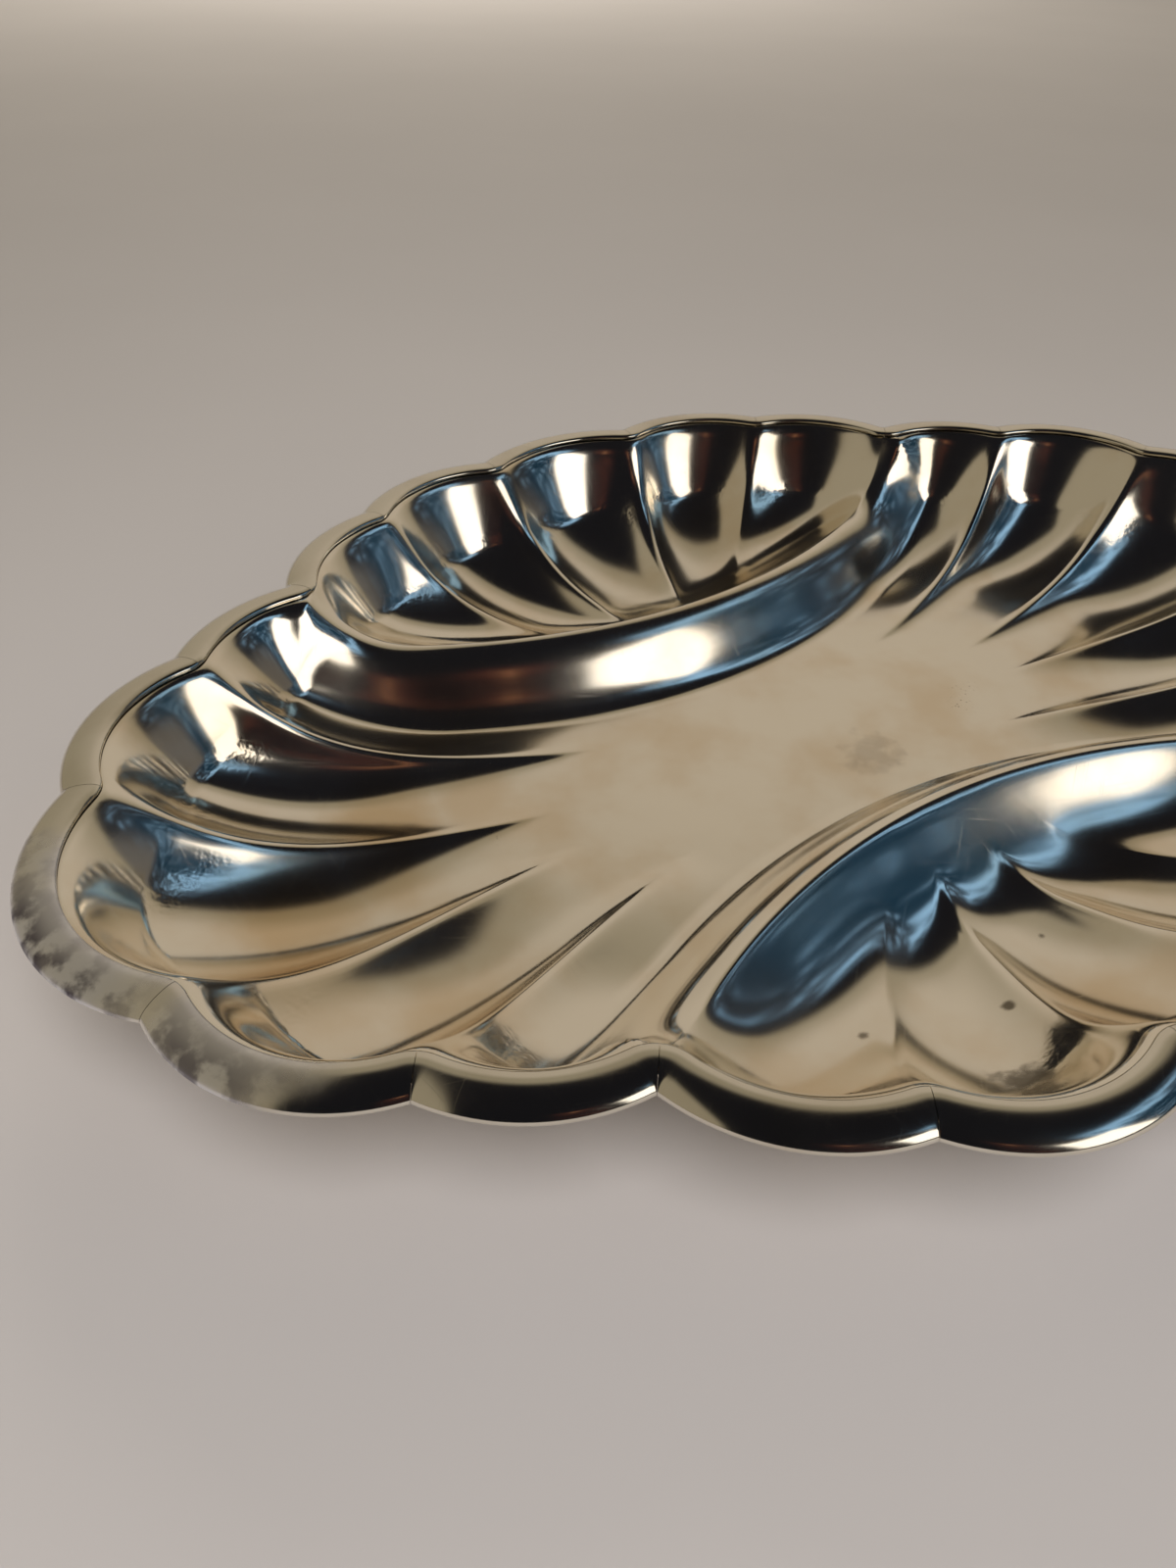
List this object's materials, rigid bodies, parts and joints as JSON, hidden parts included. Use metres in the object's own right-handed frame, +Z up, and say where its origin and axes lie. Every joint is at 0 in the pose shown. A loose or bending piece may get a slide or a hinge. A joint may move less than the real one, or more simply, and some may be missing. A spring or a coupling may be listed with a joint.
{
  "type": "divided serving platter",
  "caption": "Oval shell-fluted metal serving platter with a long middle compartment, a compartment along each side, and a rounded scalloped border.",
  "frame": {"origin": "under the middle of the floor, on the surface that the platter rests on", "axes": "+X along the platter towards its right end, +Y towards the back compartment, +Z up"},
  "size_m": [0.3598, 0.2656, 0.0335],
  "materials": {
    "plated_sheet": "polished silver plate with light tarnish",
    "plated_border": "polished silver plate, worn and mottled"
  },
  "bodies": {
    "root": {"pressed_tray": "plated_sheet", "border_right_1": "plated_border", "border_right_2": "plated_border", "border_right_3": "plated_border", "border_right_4": "plated_border", "border_right_5": "plated_border", "border_back_1": "plated_border", "border_back_2": "plated_border", "border_back_3": "plated_border", "border_back_4": "plated_border", "border_back_5": "plated_border", "border_left_1": "plated_border", "border_left_2": "plated_border", "border_left_3": "plated_border", "border_left_4": "plated_border", "border_left_5": "plated_border", "border_front_1": "plated_border", "border_front_2": "plated_border", "border_front_3": "plated_border", "border_front_4": "plated_border", "border_front_5": "plated_border"}
  },
  "joints": []
}
